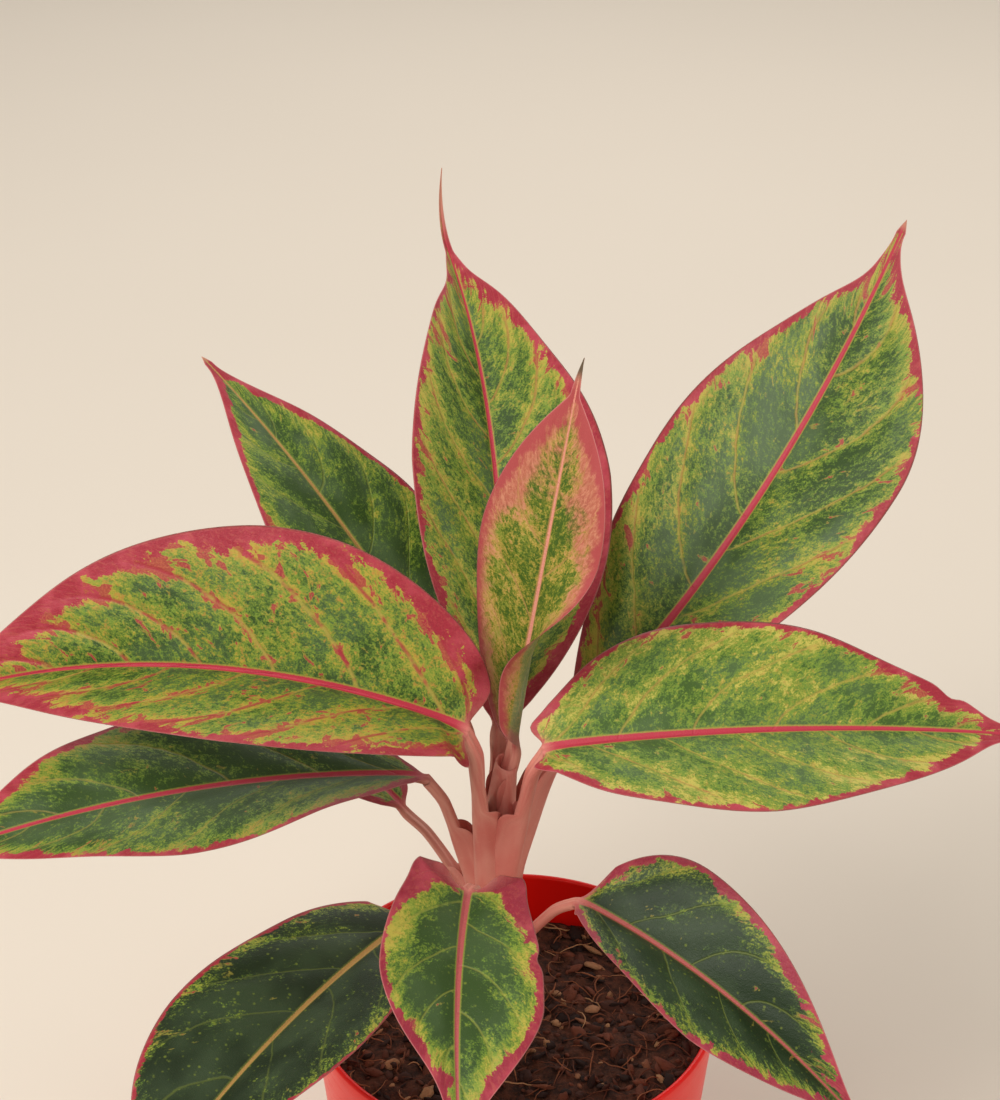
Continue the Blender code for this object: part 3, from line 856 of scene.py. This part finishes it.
# margin: width of the red band (mm), with more at the tip, at the base and on the right half
# midrib: half width (mm). yellow: lightness of the mottling, and verge: how much lighter near the margin
# red, blush, vein_red: how much there is of each, 0 to 1. sheen: how much painted grey-green sheen, a painted
# highlight, lies on the dark green, 0 to 1
Look = namedtuple(
    "Look", "margin tip base right rugged midrib yellow verge red blush sheen vein_red "
    "dark green olive speckle edge_red rib outline",
    defaults=(
        1.8, 1.5, 0.5, 0.0, 1.0, 1.5, 0.2, 0.25, 0.3, 0.0, 0.4, 0.3,
        srgb(50, 72, 28), srgb(86, 112, 38), srgb(126, 140, 48), srgb(172, 158, 66), srgb(158, 42, 56),
        srgb(182, 56, 72), srgb(166, 148, 66),
    ),
)
TAN_RIB = srgb(170, 136, 74)
LOOKS = {
    "leaf_back_left": Look(margin=1.5, rugged=0.4, midrib=1.0, yellow=0.1, verge=0.3, red=0.05, sheen=0.6,
                           vein_red=0.0, rib=TAN_RIB, outline=srgb(120, 130, 55)),
    "leaf_back_tall": Look(margin=1.5, right=1.6, tip=-1.2, rugged=1.1, midrib=1.3, yellow=0.3, red=0.6,
                           sheen=0.6, vein_red=0.5),
    "leaf_back_right": Look(margin=1.6, tip=-0.6, midrib=1.7, yellow=0.22, verge=0.3, red=0.6,
                            sheen=0.7, vein_red=0.45),
    "leaf_centre_new": Look(margin=0.9, tip=2.0, rugged=0.8, midrib=0.9, yellow=0.34, red=0.0, blush=1.0,
                            sheen=0.0, vein_red=0.0, dark=srgb(66, 92, 28), green=srgb(112, 124, 38),
                            olive=srgb(172, 148, 66), speckle=srgb(196, 158, 92), edge_red=srgb(170, 74, 74),
                            rib=srgb(226, 152, 132), outline=srgb(186, 136, 84)),
    "leaf_left": Look(margin=1.6, tip=4.0, right=2.3, rugged=1.9, midrib=1.6, yellow=0.36, red=0.95,
                      sheen=0.45, vein_red=1.0, speckle=srgb(172, 150, 58)),
    "leaf_right": Look(margin=1.2, tip=2.4, rugged=0.9, midrib=1.6, yellow=0.3, verge=0.2, red=0.5, sheen=0.5,
                       dark=srgb(62, 88, 32), green=srgb(98, 126, 44),
                       speckle=srgb(184, 172, 80)),
    "leaf_low_left": Look(margin=1.5, rugged=0.8, midrib=1.7, yellow=0.08, verge=0.3, red=0.4,
                          vein_red=0.15, speckle=srgb(166, 140, 58), outline=srgb(140, 136, 60)),
    "leaf_low_back_left": Look(rugged=0.8, midrib=1.2),
    "leaf_front_left": Look(margin=0.9, tip=0.5, rugged=0.4, midrib=1.2, yellow=-0.2, verge=0.42, red=0.1,
                            sheen=0.3, vein_red=0.0, dark=srgb(32, 44, 24), green=srgb(56, 72, 32),
                            rib=TAN_RIB, outline=srgb(96, 106, 44)),
    "leaf_front": Look(margin=1.7, base=10.0, midrib=1.2, yellow=-0.02, verge=0.55, red=0.35,
                       sheen=0.3, vein_red=0.05, edge_red=srgb(142, 44, 60), rib=srgb(172, 84, 82),
                       outline=srgb(136, 142, 56)),
    "leaf_front_right": Look(margin=2.0, tip=1.0, rugged=1.1, midrib=1.2, yellow=-0.12, verge=0.48, red=0.3,
                             sheen=0.25, vein_red=0.0, edge_red=srgb(154, 52, 72), rib=srgb(176, 92, 84),
                             dark=srgb(34, 50, 26), green=srgb(60, 80, 36), outline=srgb(112, 122, 52)),
}
STALK_PINK = srgb(222, 154, 136)
STALK_RED = srgb(186, 84, 78)
SHEATH_PINK = srgb(208, 122, 108)
STALK_FLECK = srgb(222, 166, 140)
LIME = srgb(112, 142, 52)
PAINTED_SHEEN_GREY = srgb(98, 118, 82)
RUST = srgb(176, 104, 58)
BRICK = srgb(176, 76, 66)
FLUSH_DEEP = srgb(178, 92, 80)
FLUSH_PALE = srgb(200, 128, 106)
CRIMSON_DEEP = srgb(140, 34, 48)
CRIMSON_PALE = srgb(188, 76, 88)
CRIMSON_WARM = srgb(176, 86, 74)
EDGE_PINK = srgb(206, 132, 128)
DRIP_PINK = srgb(188, 132, 106)
WITHERED = srgb(74, 70, 50)
UNDER_GREEN = srgb(128, 138, 92)
UNDER_RED = srgb(186, 92, 96)
UNDER_RIB = srgb(196, 128, 106)


def stalk_colour(g, across, along, salt, sheath):
    """Salmon pink, with faint darker streaks along the stalk and a redder sheath."""
    stretched = g.join(across * 1.6, along * 0.16, salt)
    streak = g.noise(stretched, 380, 2, 0.5)
    patch = g.noise(g.join(across, along * 0.4, salt), 60, 2)
    speckle = g.noise(g.join(across, along, salt + 3.0), 1300, 2, 0.6)
    pink = g.mix(g.step(streak, 0.3, 0.75), STALK_PINK, SHEATH_PINK)
    blushed = g.mix(g.step(patch, 0.4, 0.8) * 0.5, pink, STALK_RED)
    clasped = g.mix(sheath * 0.3, blushed, STALK_RED)
    return g.mix(g.step(speckle, 0.6, 0.75) * 0.2, clasped, STALK_FLECK)


def leaf_fields(g, leaf):
    """Places on the leaf, in metres, and the noises that its colours share, from broad to fine."""
    spacing = leaf.length * MM / SHAPES[leaf.name].veins
    f = SimpleNamespace()
    f.across, f.along, f.salt = g.split(g.attribute("leaf_place"))
    f.edge, f.share, f.blade = g.split(g.attribute("leaf_field"))
    f.phase, f.gap, f.sheath = g.split(g.attribute("leaf_vein"))
    f.upper = g.attribute("leaf_upper", "Fac")
    f.place = g.join(f.across, f.along, f.salt)
    over = f.along * 0.62 + f.phase * spacing * 0.38
    grain = g.join(f.across, over * 0.95, f.salt)
    f.streaks = g.join(f.across * 0.8, over, f.salt + 9.0)
    f.broad = g.noise(f.place, 40, 2)
    f.patch = g.noise(f.place, 115, 3, 0.6)
    f.clump = g.noise(grain, 300, 2, 0.6, 0.4)
    f.mottle = g.noise(grain, 820, 4, 0.7, 0.5)
    f.fine = g.noise(f.place, 1900, 3, 0.6)
    f.outer = g.step(abs(f.across), 1 * MM, 13 * MM)
    return f


def lateral_veins(g, f, look):
    """The veins' thin lines, and a soft band on each side of them that widens outwards."""
    wander = (g.noise(f.place, 95, 2) - 0.5) * 0.13
    turned = g.math("FRACT", f.phase + wander + 0.5) - 0.5
    away = abs(turned) * f.gap
    fade = g.step(f.edge, 1 * MM, 7 * MM) * g.step(f.patch, 0.2, 0.42)
    width = (0.45 + look.vein_red * 0.45) * MM
    f.vein_line = (1.0 - g.step(away, 0.1 * MM, width)) * fade
    f.vein_glow = (1.0 - g.step(away, 0.2 * MM, 4 * MM)) * (f.outer * 0.7 + 0.3)


def red_margin(g, f, look, lobe):
    """The margin's fringed band, which runs in along the veins, and the verge inside it."""
    on_left = g.step(f.across, -1 * MM, 1 * MM)
    near_tip = g.step(f.share, 0.5, 1.0)
    near_base = 1.0 - g.step(f.share, 0.02, 0.16 + 0.01 * lobe)
    band = f.broad * 2.0 * ((1.0 - on_left) * look.right + look.margin)
    band = (band + near_tip * look.tip + near_base * look.base) * MM
    fringe = (f.mottle - 0.5) * 1.5 + (f.fine - 0.5) * 2.5 + (f.patch - 0.5) * 8.0 + (f.clump - 0.5) * 5.0
    fringe = fringe * (near_tip * 0.8 + 1.0) * look.rugged * MM
    inward = f.edge - band + fringe - f.vein_glow * g.step(f.patch, 0.4, 0.6) * look.vein_red * 4.5 * MM
    f.margin = 1.0 - g.step(inward, -0.2 * MM, (0.35 + 2.6 * look.blush) * MM)
    f.verge = 1.0 - g.step(inward, 0.0, 9 * MM)


def mottled_green(g, f, look):
    """Dark green to ochre, lighter towards the margin and the veins, with a painted grey-green sheen, a
    painted highlight, where dark.
    """
    tone = (f.broad - 0.5) * 0.8 + (f.patch - 0.5) * 0.8 + (f.clump - 0.5) * 0.9 + f.verge * look.verge
    tone = tone + f.vein_glow * 0.26 - (1.0 - f.outer) * 0.1
    tone = tone + (f.mottle - 0.5) * 1.8 + (f.fine - 0.5) * 1.1 + (look.yellow + 0.08)
    colour = g.ramp(tone, [
        (0.0, look.dark), (0.16, look.dark), (0.4, look.green), (0.64, look.olive), (0.9, look.speckle)])
    lime = g.noise(g.join(f.across, f.along, f.salt + 2.0), 240, 2)
    colour = g.mix(g.step(lime, 0.5, 0.68) * g.step(tone, 0.3, 0.5) * 0.45, colour, LIME)
    # painted sheen: grey-green patches that stand in for the leaf's soft highlights, where the green is dark
    painted_sheen = g.step(g.noise(g.join(f.across, f.along * 0.6, f.salt + 5.0), 60, 2), 0.4, 0.62)
    hush = (1.0 - g.step(tone, 0.3, 0.62)) * (1.0 - f.verge * 0.7)
    colour = g.mix(painted_sheen * hush * look.sheen * 0.65, colour, PAINTED_SHEEN_GREY)
    rust = g.step(g.noise(f.place, 640, 3, 0.6), 0.5, 0.66) * g.step(tone, 0.4, 0.7)
    colour = g.mix(rust * look.red * 0.5, colour, RUST)
    dots = (1.0 - g.step(g.cells(f.place, 520), 0.12, 0.3)) * g.step(f.clump, 0.45, 0.6)
    return g.mix(dots * 0.5, colour, look.olive)


def young_flush(g, f, look, colour):
    """Pink over the young leaf, strongest at its margin and towards its tip."""
    flush = (1.0 - g.step(f.edge, -2 * MM, 11 * MM)) * 0.62 + g.step(f.share, 0.4, 0.85) * 0.75
    flush = flush + (f.patch - 0.5) * 1.9 + (f.mottle - 0.5) * 1.1 - (1.0 - f.outer) * 0.45
    pink = g.mix(g.step(f.mottle, 0.4, 0.65), FLUSH_DEEP, FLUSH_PALE)
    return g.mix(g.step(flush, 0.15, 0.8) * look.blush * 0.9, colour, pink)


def red_marks(g, f, look, colour):
    """Red blotches and streaks with a yellow rim, the lines of the veins and the red margin."""
    field = g.noise(f.streaks, 185, 3, 0.62, 0.6) + (f.mottle - 0.5) * 0.22
    level = 0.77 - look.red * 0.13 - f.verge * 0.12 - f.vein_glow * 0.08 * look.vein_red
    blotch = g.step(field - level, -0.008, 0.025)
    rim = g.step(field - level, -0.06, -0.008) - blotch
    colour = g.mix(rim * 0.5, colour, look.speckle)
    colour = g.mix(blotch * 0.85, colour, g.mix(g.step(f.fine, 0.4, 0.7), look.edge_red, BRICK))
    vein_hue = g.mix(g.step(f.patch + f.verge * 0.3, 0.42, 0.62) * look.vein_red, look.outline, look.edge_red)
    colour = g.mix(f.vein_line * (0.5 + 0.3 * look.vein_red), colour, vein_hue)
    crimson = g.mix(g.step(f.fine, 0.3, 0.8), look.edge_red, CRIMSON_DEEP)
    crimson = g.mix(g.step(f.patch, 0.4, 0.66) * 0.6, crimson, CRIMSON_PALE)
    crimson = g.mix(g.step(f.mottle, 0.48, 0.68) * 0.45, crimson, CRIMSON_WARM)
    return g.mix(f.margin, colour, look.edge_red if look.blush else crimson)


def leaf_material(leaf):
    """Green with yellow-green mottling, a red midrib, pale veins and a rugged crimson margin."""
    look = LOOKS[leaf.name]
    g = Graph(leaf.name + "_skin")
    f = leaf_fields(g, leaf)
    lateral_veins(g, f, look)
    red_margin(g, f, look, leaf.lobe)
    colour = mottled_green(g, f, look)
    if look.blush:
        colour = young_flush(g, f, look, colour)
    colour = red_marks(g, f, look, colour)

    # midrib and its thin outline
    half = look.midrib * MM * (1.0 - f.share * 0.72)
    from_rib = abs(f.across) + (f.fine - 0.5) * 0.5 * MM - half
    outline = (1.0 - g.step(from_rib, 0.1 * MM, 0.55 * MM)) * (1.0 - f.margin)
    colour = g.mix(outline * 0.75, colour, look.outline)
    rib = 1.0 - g.step(from_rib, -0.2 * MM, 0.1 * MM)
    colour = g.mix(rib, colour, g.mix(g.step(f.fine, 0.35, 0.75) * 0.3, look.rib, look.edge_red))

    # the thin pale line along the very edge, the pale drip tip and the young leaf's withered point
    colour = g.mix((1.0 - g.step(f.edge, 0.1 * MM, 0.4 * MM)) * 0.6, colour, EDGE_PINK)
    drip = g.step(f.along, leaf.length * MM, (leaf.length + 0.7 * leaf.tail) * MM)
    colour = g.mix(drip * 0.8, colour, DRIP_PINK)
    if look.blush:
        withered = g.step(f.along, (leaf.length + 3) * MM, (leaf.length + 7) * MM)
        colour = g.mix(withered * 0.9, colour, WITHERED)

    # the paler underside, and the stalk
    below = g.mix(0.55, colour, UNDER_GREEN)
    below = g.mix(f.margin * 0.55, below, UNDER_RED)
    below = g.mix(rib, below, UNDER_RIB)
    stalk = stalk_colour(g, f.across, f.along, f.salt, f.sheath)
    colour = g.mix(f.blade, stalk, g.mix(f.upper, below, colour))

    grit = g.noise(f.place, 2600, 2)
    height = f.fine * 0.35 + f.mottle * 0.5 + f.patch * 0.9 + grit * 0.25 - f.vein_line * 0.6
    roughness = (f.fine - 0.5) * 0.2 + (1.0 - f.blade) * 0.06 + 0.46
    return g.finish(colour, roughness, height, 0.22 * MM, Specular_IOR_Level=0.24)


def stem_material():
    g = Graph("stem_skin")
    x, y, z = g.split(g.object_place())
    colour = stalk_colour(g, x + y, z, x * 0.0, 0.6)
    rings = g.noise(g.join(x * 0.1, y * 0.1, z), 900, 3)
    colour = g.mix(g.step(z, 0.125, 0.1) * 0.5, colour, srgb(150, 96, 66))
    height = g.noise(g.join(x * 2, y * 2, z * 0.3), 500, 3) + rings * 0.5
    return g.finish(colour, 0.45, height, 0.12 * MM, Specular_IOR_Level=0.3)


def pot_material():
    """Moulded red plastic: faint flow lines and fine scuffs."""
    g = Graph("red_plastic")
    place = g.object_place()
    x, y, z = g.split(place)
    flow = g.noise(g.join(x, y, z * 0.12), 90, 3, 0.6)
    scuff = g.noise(g.join(x * 0.4, y * 0.4, z * 4.0), 300, 4, 0.7)
    grain = g.noise(place, 2200, 2)
    colour = g.mix(g.step(flow, 0.35, 0.7), srgb(232, 20, 10), srgb(226, 18, 9))
    colour = g.mix(g.step(scuff, 0.66, 0.8) * 0.15, colour, srgb(230, 74, 58))
    roughness = 0.3 + g.step(scuff, 0.5, 0.8) * 0.18 + (grain - 0.5) * 0.08
    height = grain * 0.4 + flow * 0.3 + g.step(scuff, 0.6, 0.8) * 0.2
    return g.finish(colour, roughness, height, 0.06 * MM, Specular_IOR_Level=0.25)


SOIL_DARK = srgb(44, 24, 17)
SOIL_BROWN = srgb(90, 50, 34)
SOIL_GRIT = srgb(128, 74, 48)


def soil_material():
    g = Graph("potting_soil")
    place = g.object_place()
    clods = g.noise(place, 260, 5, 0.7)
    grit = g.noise(place, 1500, 3, 0.7)
    colour = g.mix(g.step(clods, 0.35, 0.65), SOIL_DARK, SOIL_BROWN)
    colour = g.mix(g.step(grit, 0.55, 0.75) * 0.6, colour, SOIL_GRIT)
    return g.finish(colour, 0.92, clods + grit * 0.6, 0.9 * MM, Specular_IOR_Level=0.3)


def crumb_material(name, dark, light, pale):
    g = Graph(name)
    shade = g.attribute("crumb", "Fac")
    place = g.object_place()
    grain = g.noise(place, 900, 4, 0.7)
    colour = g.mix(g.step(shade, 0.1, 0.95), dark, light)
    colour = g.mix(g.step(shade, 0.86, 0.97), colour, pale)
    colour = g.mix(g.step(grain, 0.5, 0.75) * 0.5, colour, dark)
    return g.finish(colour, 0.82, grain, 0.4 * MM, Specular_IOR_Level=0.3)


def floor_material():
    g = Graph("pale_floor")
    place = g.object_place()
    colour = g.mix(g.noise(place, 3, 3), srgb(222, 211, 196), srgb(226, 215, 200))
    return g.finish(colour, 0.8, Specular_IOR_Level=0.2)


# ---- stage ----

def aim(thing, target):
    thing.rotation_euler = (Vector(target) - thing.location).to_track_quat("-Z", "Y").to_euler()


def add_area_light(name, place, target, size, power, colour):
    light = bpy.data.lights.new(name, "AREA")
    light.shape = "RECTANGLE"
    light.size, light.size_y = size
    light.energy = power
    light.color = colour
    thing = bpy.data.objects.new(name, light)
    thing.location = place
    bpy.context.scene.collection.objects.link(thing)
    aim(thing, target)


def make_stage():
    bm = bmesh.new()
    bmesh.ops.create_grid(bm, x_segments=1, y_segments=1, size=6)
    mesh = bpy.data.meshes.new("floor")
    bm.to_mesh(mesh)
    bm.free()
    floor = bpy.data.objects.new("floor", mesh)
    mesh.materials.append(floor_material())
    bpy.context.scene.collection.objects.link(floor)
    world = bpy.data.worlds.new("soft_daylight")
    world.use_nodes = True
    background = world.node_tree.nodes["Background"]
    background.inputs["Color"].default_value = (1.0, 0.97, 0.93, 1.0)
    background.inputs["Strength"].default_value = 0.45
    bpy.context.scene.world = world
    middle = (0, 0, 0.17)
    add_area_light("key", (-0.75, -0.7, 1.35), middle, (0.9, 0.9), 21, (1.0, 0.97, 0.93))
    add_area_light("fill", (1.1, -0.6, 0.8), middle, (1.0, 1.0), 5, (1.0, 0.96, 0.92))
    add_area_light("back", (0.2, 1.3, 1.1), middle, (1.2, 0.8), 7, (1.0, 0.98, 0.95))


def add_camera():
    camera = bpy.data.cameras.new("camera")
    camera.lens = 80
    camera.sensor_width = 36
    thing = bpy.data.objects.new("camera", camera)
    thing.location = (-0.0044, -0.5864, 0.6102)
    thing.rotation_euler = (math.radians(60), 0, 0)
    bpy.context.scene.collection.objects.link(thing)
    bpy.context.scene.camera = thing
    bpy.context.scene.view_settings.view_transform = "Standard"


add_camera()
make_stage()
make_pot(pot_material())
make_soil(soil_material())
make_chips(crumb_material("bark", srgb(40, 21, 15), srgb(114, 60, 40), srgb(168, 122, 86)))
make_fibres(crumb_material("coir", srgb(92, 48, 30), srgb(150, 88, 56), srgb(190, 140, 98)))
make_stem(stem_material())
by_age = sorted(LEAVES, key=lambda leaf: -leaf.joint)
for rank, leaf in enumerate(by_age):
    make_leaf(leaf, rank, leaf_material(leaf))
